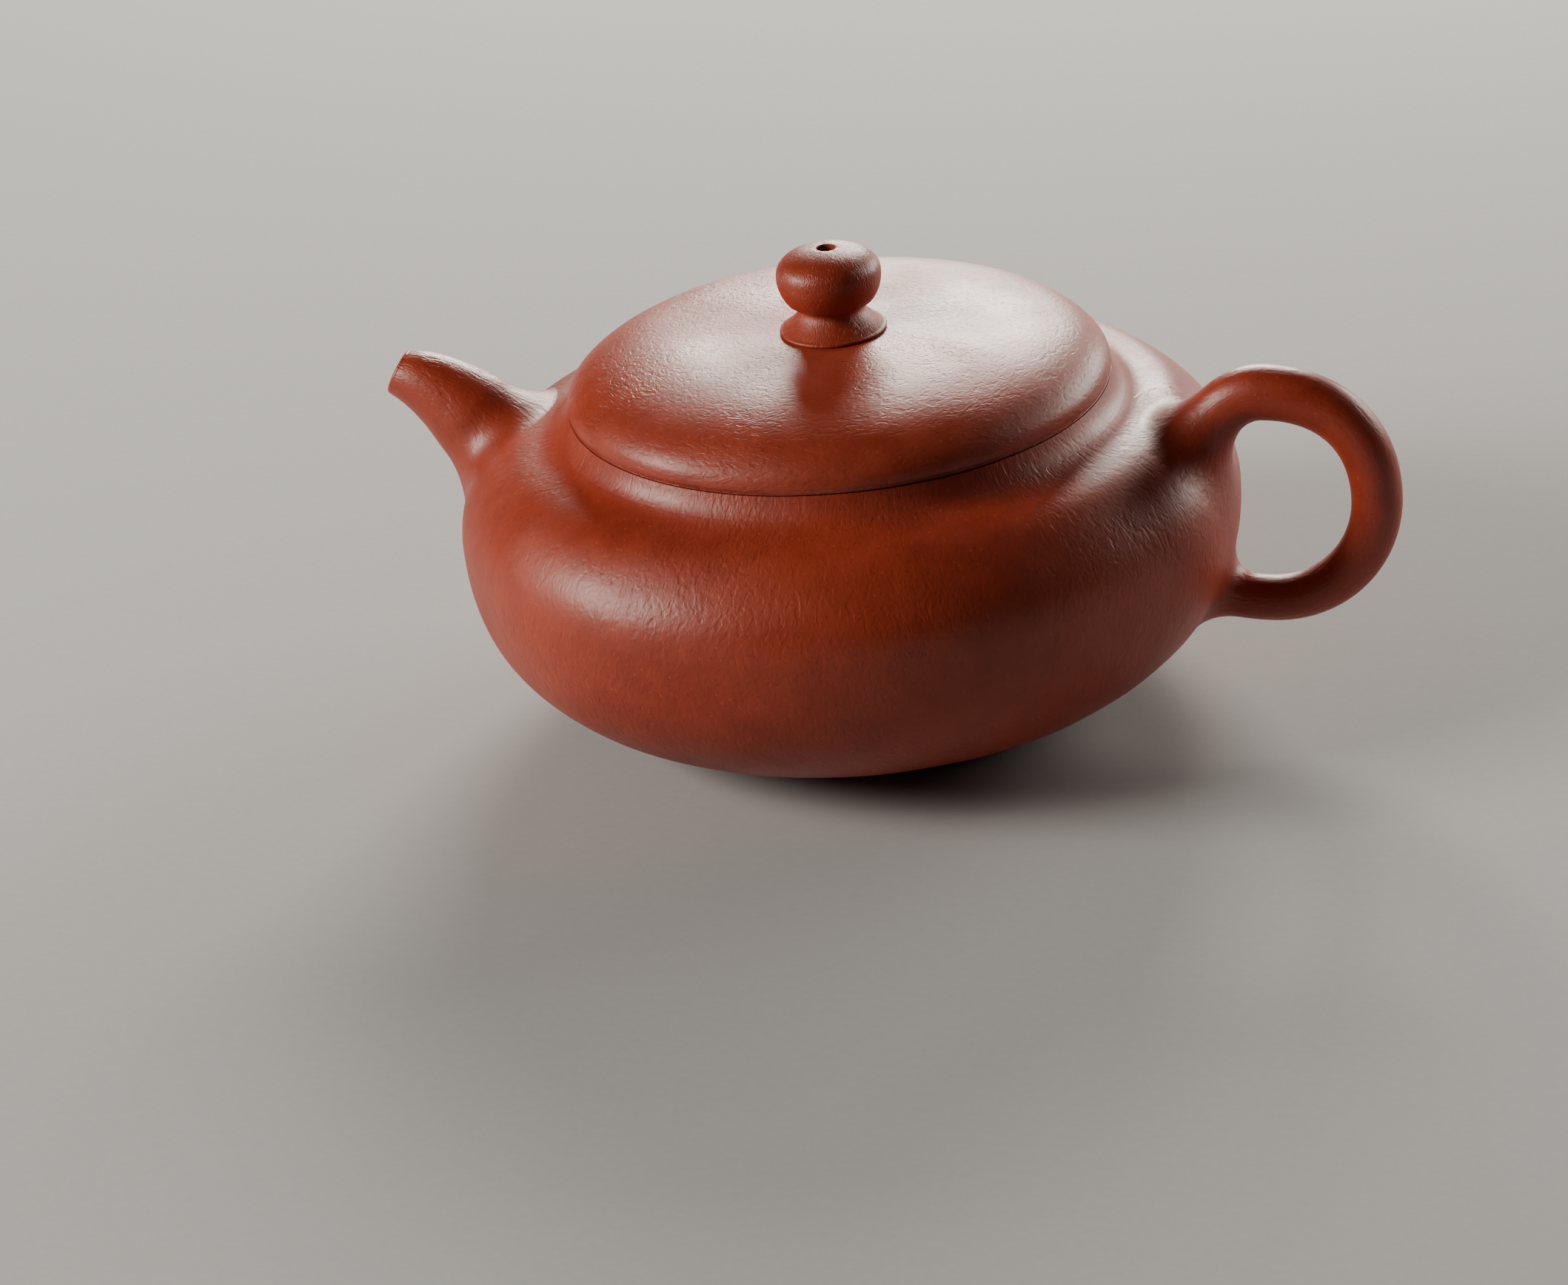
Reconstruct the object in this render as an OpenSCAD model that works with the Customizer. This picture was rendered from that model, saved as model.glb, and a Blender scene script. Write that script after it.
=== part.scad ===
// Unglazed red clay teapot of the flat, full-bellied kind, with a pressed lid.
// Built the way a potter builds it: a base disc, a beaten wall, a top slab and
// separate rings, spout, handle, strainer and lid pieces, all luted with slip.
// Frame: origin at the centre of the foot's resting face, +Z up the pot's axis,
// handle on +X, spout on -X.

/* [Body] */
// Widest diameter of the belly
body_d = 100; // [86:1:120]
// Height from the resting face to the seam under the lid
body_h = 42; // [35:0.5:48]
// Height of the widest ring above the resting face
widest_h = 26.5; // [24:0.5:31.5]
// Outer diameter of the foot and of the base disc
foot_d = 54; // [44:1:60]
// Height of the low foot ring
foot_h = 1.2; // [0.8:0.1:2]
// Width of the foot ring
foot_w = 3.4; // [2.5:0.1:5]
// Thickness of the clay wall
wall = 2.8; // [2.2:0.1:3.3]
// Fullness of the belly below its widest ring (2 is an ellipse)
low_n = 2.57; // [2.2:0.01:3]
// Fullness of the shoulder above the widest ring
up_n = 2.09; // [1.9:0.01:2.5]

/* [Mouth] */
// Diameter of the mouth ring at the lid seam
mouth_d = 69; // [57.5:0.5:73]
// Width of the mouth ring's flat top
mouth_w = 4.5; // [3.8:0.1:5.5]
// Height of the mouth ring
mouth_h = 2.8; // [2.2:0.1:3.4]
// How far the mouth ring has spread at its foot
mouth_spread = 1.4; // [1:0.1:1.8]
// Lean of the mouth ring's side from upright at its foot, degrees
mouth_lean = 38; // [30:1:44]

/* [Spout] */
// Distance from the pot's axis to the middle of the outlet
spout_reach = 59.2; // [58:0.1:68]
// Height of the middle of the outlet
spout_tip_h = 42.5; // [40:0.5:46]
// Outer diameter at the outlet
spout_tip_d = 6.2; // [6:0.1:8]
// Outer diameter half way along the spout
spout_mid_d = 10.6; // [9:0.1:13]
// Outer diameter where the spout is luted to the wall
spout_root_d = 17; // [15:0.5:20]
// Thickness of the clay at the outlet
spout_wall = 0.8; // [0.7:0.05:1.2]
// Tilt of the outlet face back from upright, degrees
spout_cut = 28; // [15:1:40]

/* [Strainer] */
// Outer diameter of the domed strainer behind the spout
strainer_d = 10.4; // [9.8:0.1:11]
// Thickness of the strainer
strainer_t = 1.2; // [1:0.1:1.6]
// Diameter of the strainer's holes
strainer_hole_d = 1.6; // [1.2:0.1:2]

/* [Handle] */
// Distance from the pot's axis to the outside of the handle
handle_reach = 71.3; // [69:0.1:80]
// Height of the top of the handle
handle_top = 45.2; // [43:0.1:47]
// Height of the underside of the handle
handle_low = 10.6; // [8:0.1:13]
// Thickness of the handle at its upper arm
handle_d = 7; // [6:0.1:8]
// Thickness of the handle at its lower arm
handle_low_d = 5.8; // [5:0.1:7]

/* [Lid] */
// Rise of the lid from the seam to its crown
lid_h = 7.5; // [6.5:0.1:10]
// Height of the lid's upright rim edge
lid_edge = 1.2; // [0.8:0.1:1.6]
// Thickness of the flat plate that rests on the mouth ring
plate_t = 2.2; // [1.8:0.1:2.6]
// Thickness of the dome slab
dome_t = 2.4; // [2:0.1:2.8]
// Depth of the locating flange below the seam
flange_h = 6; // [4:0.5:8]
// Thickness of the locating flange
flange_t = 2.3; // [1.8:0.1:3]
// Running clearance between the flange and the mouth ring, all round
lid_gap = 0.3; // [0.2:0.05:0.5]

/* [Knob] */
// Widest diameter of the knob
knob_d = 13.3; // [11:0.1:16]
// Height of the knob above its neck
knob_h = 8.1; // [6.5:0.1:9.5]
// Diameter of the neck under the knob
neck_d = 8.2; // [7:0.1:9.5]
// Diameter of the collar at the foot of the knob
collar_d = 13.6; // [12:0.1:16]
// Height of the collar
collar_h = 3; // [2.4:0.1:3.8]
// Thickness of the collar's edge
collar_edge = 0.45; // [0.3:0.05:0.7]
// Diameter of the air hole through the knob
vent_d = 2.4; // [2:0.1:3.2]

/* [Hidden] */
$fn = 96;
clay = [0.62, 0.27, 0.20];
clay_dark = [0.55, 0.23, 0.17];

body_r = body_d / 2;
foot_r = foot_d / 2;
mouth_r = mouth_d / 2;
bore_r = mouth_r - mouth_w;
knob_r = knob_d / 2;
neck_r = neck_d / 2;
collar_r = collar_d / 2;
inner_r = body_r - wall;
floor_z = foot_h + wall;
neck_z = body_h - mouth_h;
in_n = 2.6; // fullness of the hollow above its widest ring

// superellipse quarter: the other half-axis fraction left at fraction u
function left_at(u, n) = pow(1 - pow(u, n), 1 / n);
// point of a superellipse quarter at angle t, half-axes a and b, exponents n and m
function sup(t, a, b, n, m) = [a * pow(max(cos(t), 0), 2 / n), b * pow(max(sin(t), 0), 2 / m)];
// cubic Bezier
function bez(p, t) = pow(1 - t, 3) * p[0] + 3 * t * pow(1 - t, 2) * p[1]
                   + 3 * t * t * (1 - t) * p[2] + pow(t, 3) * p[3];
function bez_dir(p, t) = 3 * pow(1 - t, 2) * (p[1] - p[0]) + 6 * t * (1 - t) * (p[2] - p[1])
                       + 3 * t * t * (p[3] - p[2]);

// half-heights that make the belly reach the foot and run under the mouth ring
low_h = (widest_h - foot_h) / left_at(foot_r / body_r, low_n);
low_in_h = (widest_h - floor_z) / left_at(foot_r / inner_r, low_n);
under_k = 0.95; // the shoulder's curve runs a little under the seam
up_h = under_k * (body_h - widest_h) / left_at(mouth_r / body_r, up_n);
up_in_h = (neck_z - widest_h - 0.8 * wall) / left_at(bore_r / inner_r, in_n);

// radius of the outside of the belly at height z, and how far a point stands outside it
function belly_r(z) = z < widest_h ? body_r * left_at(min((widest_h - z) / low_h, 1), low_n)
                                   : body_r * left_at(min((z - widest_h) / up_h, 1), up_n);
function outside(p) = norm([p[0], p[1]]) - belly_r(p[2]);

// angle on a lower quarter where its radius is r
function low_t(r, a, n) = acos(pow(r / a, n / 2));
low_end = low_t(foot_r, body_r, low_n);
low_in_end = low_t(foot_r, inner_r, low_n);
// angle on the shoulder where the hollow under the mouth ring begins
cove_r = (mouth_r + body_r) / 2 + 1.4;
cove_t = low_t(cove_r, body_r, up_n);
// angle on the shoulder where the top slab is luted to the wall
joint_t = 0.8 * cove_t;
in_bore_t = low_t(bore_r, inner_r, in_n);

function low_out(t) = let (p = sup(t, body_r, low_h, low_n, low_n)) [p[0], widest_h - p[1]];
function low_in(t) = let (p = sup(t, inner_r, low_in_h, low_n, low_n)) [p[0], widest_h - p[1]];
function up_out(t) = let (p = sup(t, body_r, up_h, up_n, up_n)) [p[0], widest_h + p[1]];
function up_in(t) = let (p = sup(t, inner_r, up_in_h, in_n, in_n)) [p[0], widest_h + p[1]];

steps = 14;
low_out_pts = [for (i = [0 : steps]) low_out(low_end * (1 - i / steps))];
low_in_pts = [for (i = [0 : steps]) low_in(low_in_end * (1 - i / steps))];
wall_up_pts = [for (i = [1 : 8]) up_out(joint_t * i / 8)];
wall_up_in_pts = [for (i = [1 : 8]) up_in(joint_t * i / 8)];
slab_pts = [for (i = [0 : 4]) up_out(joint_t + (cove_t - joint_t) * i / 4)];
slab_in_pts = [for (i = [0 : 8]) up_in(joint_t + (in_bore_t - joint_t) * i / 8)];

// hollow curve from the shoulder up to the foot of the mouth ring
spread_r = mouth_r + mouth_spread;
lean = [-sin(mouth_lean), cos(mouth_lean)];
cove_a = up_out(cove_t);
cove_b = up_out(cove_t + 1);
cove_dir = (cove_b - cove_a) / norm(cove_b - cove_a);
cove = [cove_a, cove_a + 3 * cove_dir, [spread_r, neck_z] - 2.2 * lean, [spread_r, neck_z]];
cove_pts = [for (i = [1 : 10]) bez(cove, i / 10)];

// outline of the mouth ring, from its foot up to the seam
ring_out = [[spread_r, neck_z], [spread_r, neck_z] + 0.3 * mouth_h * lean,
            [mouth_r + 0.1, neck_z + 0.62 * mouth_h], [mouth_r, body_h]];
ring_pts = [for (i = [0 : 8]) bez(ring_out, i / 8)];

// ring of directions square to a sweep's centre line, whose plane is upright on Y
function around(d, ang) = cos(ang) * [0, 1, 0] + sin(ang) * cross(d / norm(d), [0, 1, 0]);
// quads between two rows of k points, the rows starting at point numbers i and j
function band(i, j, k) = [for (a = [0 : k - 1]) [i + a, j + a, j + (a + 1) % k, i + (a + 1) % k]];

// spout: centre line from inside the wall, out and up, easing over to the outlet
root_in = 6; // depth below the belly's widest ring at which spout and handle lines start
// its height keeps the strainer below the hollow of the shoulder
spout_root = [-(body_r - root_in), 0, widest_h + 0.662 * up_in_h - 0.45 * strainer_d];
spout_tip = [-spout_reach, 0, spout_tip_h];
spout_line = [spout_root,
              spout_root + [-5.5, 0, 0.38 * up_h],
              spout_tip - [-4.7, 0, 1.3],
              spout_tip];
spout_steps = 16;
tip_r = spout_tip_d / 2;
mid_r = spout_mid_d / 2;
root_r = spout_root_d / 2;
function spout_r(t) = tip_r + 2 * (mid_r - tip_r) * (1 - t)
                    + (root_r - tip_r - 2 * (mid_r - tip_r)) * pow(1 - t, 8);
root_wall = 1.2; // how much thicker the spout's clay is at its root
function spout_in_r(t) = spout_r(t) - spout_wall - root_wall * (1 - t);
tip_face = [-cos(spout_cut), 0, sin(spout_cut)];
function spout_at(t) = bez(spout_line, t);
function spout_dir(t) = t > 0.8 ? bez_dir(spout_line, t) * (1 - t) / 0.2
                                  + norm(bez_dir(spout_line, t)) * tip_face * (t - 0.8) / 0.2
                                : bez_dir(spout_line, t);
function spout_pt(t, ang, in) =
  spout_at(t) + (in ? spout_in_r(t) : spout_r(t)) * around(spout_dir(t), ang);
// place along the spout where the line at one angle comes out of the wall, by halving
function spout_start(ang, in, lo = 0, hi = 0.75, n = 16) = n == 0 ? (lo + hi) / 2 :
  let (mid = (lo + hi) / 2) outside(spout_pt(mid, ang, in)) > 0
    ? spout_start(ang, in, lo, mid, n - 1) : spout_start(ang, in, mid, hi, n - 1);
spout_sides = 32;
function spout_rows(in) =
  let (from = [for (a = [0 : spout_sides - 1]) spout_start(360 * a / spout_sides, in)])
  [for (i = [0 : spout_steps]) for (a = [0 : spout_sides - 1])
    spout_pt(from[a] + (1 - from[a]) * i / spout_steps, 360 * a / spout_sides, in)];
wall_port_r = min(spout_in_r(0.3) - 0.3, strainer_d / 2 - strainer_t - 0.2);
port_t = 0.03; // place on the spout's line where it passes the inside of the wall

module base_disc() {
  color(clay) translate([0, 0, foot_h]) cylinder(r = foot_r, h = wall);
}

module foot_ring() {
  color(clay_dark) rotate_extrude()
    polygon([[foot_r - foot_w, 0], [foot_r - 0.5, 0], [foot_r, 0.5], [foot_r, foot_h],
             [foot_r - foot_w, foot_h]]);
}

// stands its children on the spout's line where the port goes through the wall
module on_port() {
  d = bez_dir(spout_line, port_t);
  translate(spout_at(port_t)) rotate([0, atan2(d[0], d[2]), 0]) children();
}
// port through the wall for the tea
module wall_port() {
  on_port() cylinder(r = wall_port_r, h = 24, center = true);
}

module body_wall() {
  color(clay) difference() {
    rotate_extrude() polygon(concat(
      low_out_pts, wall_up_pts,
      [for (i = [len(wall_up_in_pts) - 1 : -1 : 0]) wall_up_in_pts[i]],
      [for (i = [len(low_in_pts) - 1 : -1 : 0]) low_in_pts[i]]));
    wall_port();
  }
}

module top_slab() {
  color(clay) difference() {
    rotate_extrude() polygon(concat(
      slab_pts, cove_pts, [[bore_r, neck_z]],
      [for (i = [len(slab_in_pts) - 1 : -1 : 0]) slab_in_pts[i]]));
    wall_port();
  }
}

module mouth_ring() {
  color(clay_dark) rotate_extrude() polygon(concat([[bore_r, neck_z]], ring_pts, [[bore_r, body_h]]));
}

module spout() {
  k = spout_sides;
  n = spout_steps;
  inner = k * (n + 1);
  color(clay) polyhedron(
    points = concat(spout_rows(false), spout_rows(true)),
    faces = concat([for (i = [0 : n - 1]) each band(i * k, (i + 1) * k, k)],
                   [for (i = [0 : n - 1]) each band(inner + (i + 1) * k, inner + i * k, k)],
                   band(inner, 0, k), band(n * k, inner + n * k, k)));
}

// domed strainer: a pierced clay cup, its skirt pressed into the inside of the wall
strainer_r = strainer_d / 2;
strainer_in_r = strainer_r - strainer_t;
strainer_skirt = 0.5 * wall;
hole_rings = 2;
module strainer() {
  color(clay_dark) on_port() difference() {
    rotate_extrude() difference() {
      union() {
        intersection() {
          circle(r = strainer_r);
          translate([0, -strainer_r]) square(strainer_r);
        }
        square([strainer_r, strainer_skirt]);
      }
      circle(r = strainer_in_r);
      square([strainer_in_r, 2 * strainer_skirt]);
    }
    for (k = [0 : hole_rings]) for (j = [0 : max(6 * k, 1) - 1])
      rotate([0, 0, 360 * j / max(6 * k, 1)]) rotate([180 - 27 * k, 0, 0])
        cylinder(d = strainer_hole_d, h = strainer_r + 1, $fn = 24);
  }
}

// handle: upper arm off the shoulder, round ear, lower arm back to the belly
arm_r = handle_d / 2;
low_r = handle_low_d / 2;
ear_back = 6.3; // how far the highest point lies inwards of the middle of the loop
ear_top = [(body_r + handle_reach) / 2 - ear_back, handle_top - arm_r];
ear_out = [handle_reach - (arm_r + low_r) / 2, (handle_top + handle_low) / 2];
ear_low = [ear_top[0], handle_low + low_r];
round_k = 0.5523; // Bezier arm that makes a quarter circle
arm_up = [[body_r - root_in - 0.5, widest_h + 0.3 * up_h], [body_r - 0.5 * root_in, widest_h + 0.53 * up_h],
          [ear_top[0] - 4.6, ear_top[1]], ear_top];
full_k = 0.62; // a fuller quarter for the upper corner
ear_up = [ear_top, ear_top + [full_k * (ear_out[0] - ear_top[0]), 0],
          ear_out + [0, full_k * (ear_top[1] - ear_out[1])], ear_out];
ear_down = [ear_out, ear_out - [0, round_k * (ear_out[1] - ear_low[1])],
            ear_low + [round_k * (ear_out[0] - ear_low[0]), 0], ear_low];
arm_low = [ear_low, ear_low - [3, 0], [body_r - 2, ear_low[1] + 0.5], [body_r - root_in, ear_low[1] + 2]];
handle_lines = [arm_up, ear_up, ear_down, arm_low];
arm_steps = 9;
function handle_at(s) = let (i = min(floor(s), 3), p = bez(handle_lines[i], s - i)) [p[0], 0, p[1]];
function handle_dir(s) = let (i = min(floor(s), 3), p = bez_dir(handle_lines[i], s - i)) [p[0], 0, p[1]];
root_swell = 1.6; // how much the handle thickens where it is luted on
root_len = 0.7; // share of the end curves over which it thickens
function handle_r(s) = arm_r + (low_r - arm_r) * min(max(s - 1, 0) / 2, 1)
                     + root_swell * pow(max(1 - s / root_len, 0), 2)
                     + root_swell * pow(max((s - 4 + root_len) / root_len, 0), 2);

function handle_pt(s, ang) = handle_at(s) + handle_r(s) * around(handle_dir(s), ang);
// places along the handle where the line at one angle leaves and meets the pot again
function arm_start(ang, lo = 0, hi = 0.9, n = 16) = n == 0 ? (lo + hi) / 2 :
  let (mid = (lo + hi) / 2) outside(handle_pt(mid, ang)) > 0
    ? arm_start(ang, lo, mid, n - 1) : arm_start(ang, mid, hi, n - 1);
function arm_end(ang, lo = 3.1, hi = 4, n = 16) = n == 0 ? (lo + hi) / 2 :
  let (mid = (lo + hi) / 2) outside(handle_pt(mid, ang)) > 0
    ? arm_end(ang, mid, hi, n - 1) : arm_end(ang, lo, mid, n - 1);

module handle() {
  k = 24;
  n = 4 * arm_steps;
  from = [for (a = [0 : k - 1]) arm_start(360 * a / k)];
  to = [for (a = [0 : k - 1]) arm_end(360 * a / k)];
  mid_from = (min(from) + max(from)) / 2;
  mid_to = (min(to) + max(to)) / 2;
  ends = k * (n + 1);
  color(clay) polyhedron(
    points = concat([for (i = [0 : n]) for (a = [0 : k - 1])
                      handle_pt(from[a] + (to[a] - from[a]) * i / n, 360 * a / k)],
                    [handle_at(mid_from), handle_at(mid_to)]),
    faces = concat([for (i = [0 : n - 1]) each band(i * k, (i + 1) * k, k)],
                   [for (a = [0 : k - 1]) [ends, a, (a + 1) % k]],
                   [for (a = [0 : k - 1]) [ends + 1, n * k + (a + 1) % k, n * k + a]]));
}

// lid: everything above the seam
lid_n = 5;
lid_m = 1.6;
function lid_out(t) = sup(t, mouth_r, lid_h - lid_edge, lid_n, lid_m) + [0, body_h + lid_edge];
lid_pts = concat([[mouth_r, body_h], [mouth_r + 0.12, body_h + lid_edge * 0.5]],
                 [for (i = [0 : 26]) lid_out(90 * i / 26)]);
plate_in_r = bore_r - lid_gap - flange_t - 0.4;
dome_in_h = lid_h - dome_t - plate_t;
function dome_in(t) = sup(t, plate_in_r, dome_in_h, 3, 1.8) + [0, body_h + plate_t];
module lid_fill() {
  polygon(concat([[0, body_h]], lid_pts));
}

module lid_flange() {
  flange_r = bore_r - lid_gap;
  color(clay_dark) rotate_extrude()
    polygon([[flange_r - flange_t, body_h - flange_h], [flange_r - 0.6, body_h - flange_h],
             [flange_r, body_h - flange_h + 0.8], [flange_r, body_h], [flange_r - flange_t, body_h]]);
}

module lid_plate() {
  color(clay) rotate_extrude() intersection() {
    lid_fill();
    translate([plate_in_r, body_h]) square([mouth_r, plate_t]);
  }
}

module lid_dome() {
  color(clay) rotate_extrude() difference() {
    lid_fill();
    translate([0, body_h - 1]) square([mouth_r + 1, plate_t + 1]);
    polygon(concat([[0, body_h]], [[plate_in_r, body_h]], [for (i = [0 : 18]) dome_in(90 * i / 18)]));
    translate([0, body_h]) square([vent_d / 2, 2 * lid_h]);
  }
}

// knob and its collar, turned on the pot's axis
crown_z = body_h + lid_h;
collar_z = crown_z + collar_h;
knob_n = 2.4; // fullness of the knob below its widest ring
knob_up_n = 2.15; // and above it
knob_mid_z = collar_z + 0.57 * knob_h;
knob_low_h = 1.035 * (knob_mid_z - collar_z) / left_at(neck_r / knob_r, knob_n);
knob_up_h = knob_h - (knob_mid_z - collar_z);
flare_n = 1.25; // how the collar widens downwards: 1 is a straight cone
function flare(u) = [neck_r + (collar_r - neck_r) * pow(u, flare_n),
                     collar_z - (collar_h - collar_edge) * u];
knob_low_end = asin(pow((knob_mid_z - collar_z) / knob_low_h, knob_n / 2));
function knob_low(t) = let (p = sup(t, knob_r, knob_low_h, knob_n, knob_n)) [p[0], knob_mid_z - p[1]];
// hollow waist that eases the knob's underside upright into the neck
waist_t = 0.74 * knob_low_end;
waist_a = knob_low(waist_t);
waist_b = knob_low(waist_t + 1);
waist_reach = 0.4 * norm(waist_a - [neck_r, collar_z]);
waist = [[neck_r, collar_z], [neck_r, collar_z + waist_reach],
         waist_a + waist_reach * (waist_b - waist_a) / norm(waist_b - waist_a), waist_a];

module knob_collar() {
  color(clay_dark) rotate_extrude() difference() {
    polygon(concat([[vent_d / 2, collar_z]], [for (i = [0 : 10]) flare(i / 10)],
                   [[collar_r, crown_z - 1], [vent_d / 2, crown_z - 1]]));
    lid_fill();
  }
}

module knob() {
  color(clay) rotate_extrude() difference() {
    polygon(concat(
      [[0, collar_z]],
      [for (i = [0 : 5]) bez(waist, i / 6)],
      [for (i = [0 : 10]) knob_low(waist_t * (1 - i / 10))],
      [for (i = [1 : 14]) let (p = sup(90 * i / 14, knob_r, knob_up_h, knob_up_n, knob_up_n))
        [p[0], knob_mid_z + p[1]]]));
    translate([0, collar_z - 1]) square([vent_d / 2, knob_h + 2]);
  }
}

base_disc();
foot_ring();
body_wall();
top_slab();
mouth_ring();
spout();
strainer();
handle();
lid_flange();
lid_plate();
lid_dome();
knob_collar();
knob();
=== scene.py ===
# %% [markdown]
# A small unglazed clay teapot, built in Blender around its measured frame.
# The frame gives every size and place; this script gives the looks: soft
# hand-made surfaces, roots that flow into the belly, and a burnished clay skin.

# %% The frame and its box
import math

import bmesh
import bpy
import numpy as np
from mathutils import Matrix, Vector


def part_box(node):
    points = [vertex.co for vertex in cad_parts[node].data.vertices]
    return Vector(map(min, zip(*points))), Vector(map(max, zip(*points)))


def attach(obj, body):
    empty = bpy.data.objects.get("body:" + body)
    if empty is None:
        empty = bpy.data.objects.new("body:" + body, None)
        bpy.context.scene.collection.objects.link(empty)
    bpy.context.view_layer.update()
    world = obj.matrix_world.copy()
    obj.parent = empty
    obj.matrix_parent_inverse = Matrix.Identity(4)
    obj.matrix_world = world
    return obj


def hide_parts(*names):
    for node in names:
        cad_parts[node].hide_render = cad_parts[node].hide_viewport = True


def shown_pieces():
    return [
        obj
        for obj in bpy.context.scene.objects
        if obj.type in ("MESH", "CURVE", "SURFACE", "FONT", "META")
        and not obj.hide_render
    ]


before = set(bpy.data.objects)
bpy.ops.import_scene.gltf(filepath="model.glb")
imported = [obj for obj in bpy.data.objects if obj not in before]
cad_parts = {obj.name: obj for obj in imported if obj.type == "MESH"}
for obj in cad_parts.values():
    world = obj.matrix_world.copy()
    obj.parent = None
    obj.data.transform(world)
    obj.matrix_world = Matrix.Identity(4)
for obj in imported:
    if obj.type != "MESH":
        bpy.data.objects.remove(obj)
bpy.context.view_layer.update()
MM = 0.001

# %% [markdown]
# The pot's main sizes are read back from the boxes of the frame's pieces, so
# the looks follow the frame when a size changes. What a box can't tell, such as
# the height of the widest ring or the fullness of a curve, is set where it is
# first needed.

# %% Sizes from the frame


def low(node):
    """Lowest corner of a frame piece, in millimetres."""
    return np.array(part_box(node)[0]) / MM


def high(node):
    """Highest corner of a frame piece, in millimetres."""
    return np.array(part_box(node)[1]) / MM


body_r = high("body_wall")[0]
foot_r = high("foot_ring")[0]
foot_h = high("foot_ring")[2]
floor_z = high("base_disc")[2]
neck_z = low("mouth_ring")[2]
seam_z = high("mouth_ring")[2]
rim_bow = 0.12  # how far the lid's rim swells past the seam
mouth_r = high("lid_plate")[0] - rim_bow
flange_r = high("lid_flange")[0]
lid_gap = 0.3  # air between the flange and the bore it drops into
bore_r = flange_r + lid_gap
plate_top = high("lid_plate")[2]
crown_z = high("lid_dome")[2]
collar_r = high("knob_collar")[0]
collar_z = high("knob_collar")[2]
knob_r = high("knob")[0]
knob_top = high("knob")[2]
wall = floor_z - foot_h
print("belly", round(2 * body_r, 1), "seam height", round(seam_z, 1), "height", round(knob_top, 1))

# %% [markdown]
# A body of revolution is one curve, its profile, carried round the axis. The
# belly's profile is two quarter superellipses that meet at the widest ring:
# r = a * cos(t)^(2/n) and z = b * sin(t)^(2/n). With n = 2 that is an ellipse;
# a larger n fills the corner out, as the beaten clay of a full belly does.

# %% Profile helpers


def sup(t, a, b, n, m=None):
    """Quarter superellipse: (a * cos(t)^(2/n), b * sin(t)^(2/m)) for t in radians."""
    m = m or n
    c, s = np.clip(np.cos(t), 0, None), np.clip(np.sin(t), 0, None)
    return np.stack([a * c ** (2 / n), b * s ** (2 / m)], -1)


def left_at(u, n):
    """Share of the other half-axis left at share u: (1 - u^n)^(1/n)."""
    return (1 - u**n) ** (1 / n)


def bezier(points, t):
    """Cubic Bezier: the points weighted by (1-t)^3, 3t(1-t)^2, 3t^2(1-t) and t^3."""
    t = np.asarray(t, float)[:, None]
    p = np.asarray(points, float)
    return (1 - t) ** 3 * p[0] + 3 * t * (1 - t) ** 2 * p[1] + 3 * t * t * (1 - t) * p[2] + t**3 * p[3]


def even(points, step):
    """The same curve, with points a constant length of about step apart."""
    p = np.asarray(points, float)
    run = np.r_[0, np.cumsum(np.linalg.norm(np.diff(p, axis=0), axis=1))]
    at = np.linspace(0, run[-1], max(int(run[-1] / step), 2) + 1)
    return np.stack([np.interp(at, run, p[:, k]) for k in range(p.shape[1])], -1)


def rounded(corners, steps=6):
    """Closed outline from (r, z, radius) corners: each corner with a radius becomes a small arc."""
    c = np.asarray(corners, float)
    out = []
    for i, (r, z, rad) in enumerate(c):
        here = c[i, :2]
        if rad <= 0:
            out.append(here)
            continue
        back, on = c[i - 1, :2] - here, c[(i + 1) % len(c), :2] - here
        back, on = back / np.linalg.norm(back), on / np.linalg.norm(on)
        half = math.acos(np.clip(back @ on, -1, 1)) / 2
        reach = rad / math.tan(half)
        middle = here + (back + on) / np.linalg.norm(back + on) * rad / math.sin(half)
        a, b = here + back * reach - middle, here + on * reach - middle
        for k in np.linspace(0, 1, steps + 1):
            v = a * (1 - k) + b * k
            out.append(middle + v / np.linalg.norm(v) * rad)
    return np.array(out)


# %% [markdown]
# The belly is widest a little above half its height: full and tight below,
# where the potter beat the clay over the bottom, and rounder above. A curve
# drawn by hand would do as well, but these few numbers each say one thing about
# the pot: where it is widest, and how full it is on either side.

# %% The pot's outline
widest_z = 26.5
low_n, up_n, in_n = 2.57, 2.09, 2.6  # fullness below and above the widest ring, and inside
shoulder_k = 0.95  # height of the shoulder's curve, as a share of what would reach the seam
mouth_spread = 1.4  # how much wider the mouth ring is at its foot
low_b = (widest_z - foot_h) / left_at(foot_r / body_r, low_n)
low_end = math.acos((foot_r / body_r) ** (low_n / 2))
up_b = shoulder_k * (seam_z - widest_z) / left_at(mouth_r / body_r, up_n)
cove_r = (mouth_r + body_r) / 2 + mouth_spread
cove_t = math.acos((cove_r / body_r) ** (up_n / 2))
joint_t = 0.8 * cove_t  # where the shoulder slab is luted onto the wall
lower = sup(np.linspace(low_end, 0, 90), body_r, low_b, low_n) * [1, -1] + [0, widest_z]
upper = sup(np.linspace(0, cove_t, 60), body_r, up_b, up_n) + [0, widest_z]

# %% [markdown]
# Between the belly and the seam the outline turns hollow, then runs up the
# mouth ring until it stands upright at the seam. Both parts are Bezier curves,
# and each starts in the direction the one before it ends in. The scraper also
# rounds off every change of curve: each point is replaced by the average of
# its neighbours along the curve, weighted by exp(-s^2 / 2w^2) at a distance s,
# so that light slides over the neck without a break.

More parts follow.
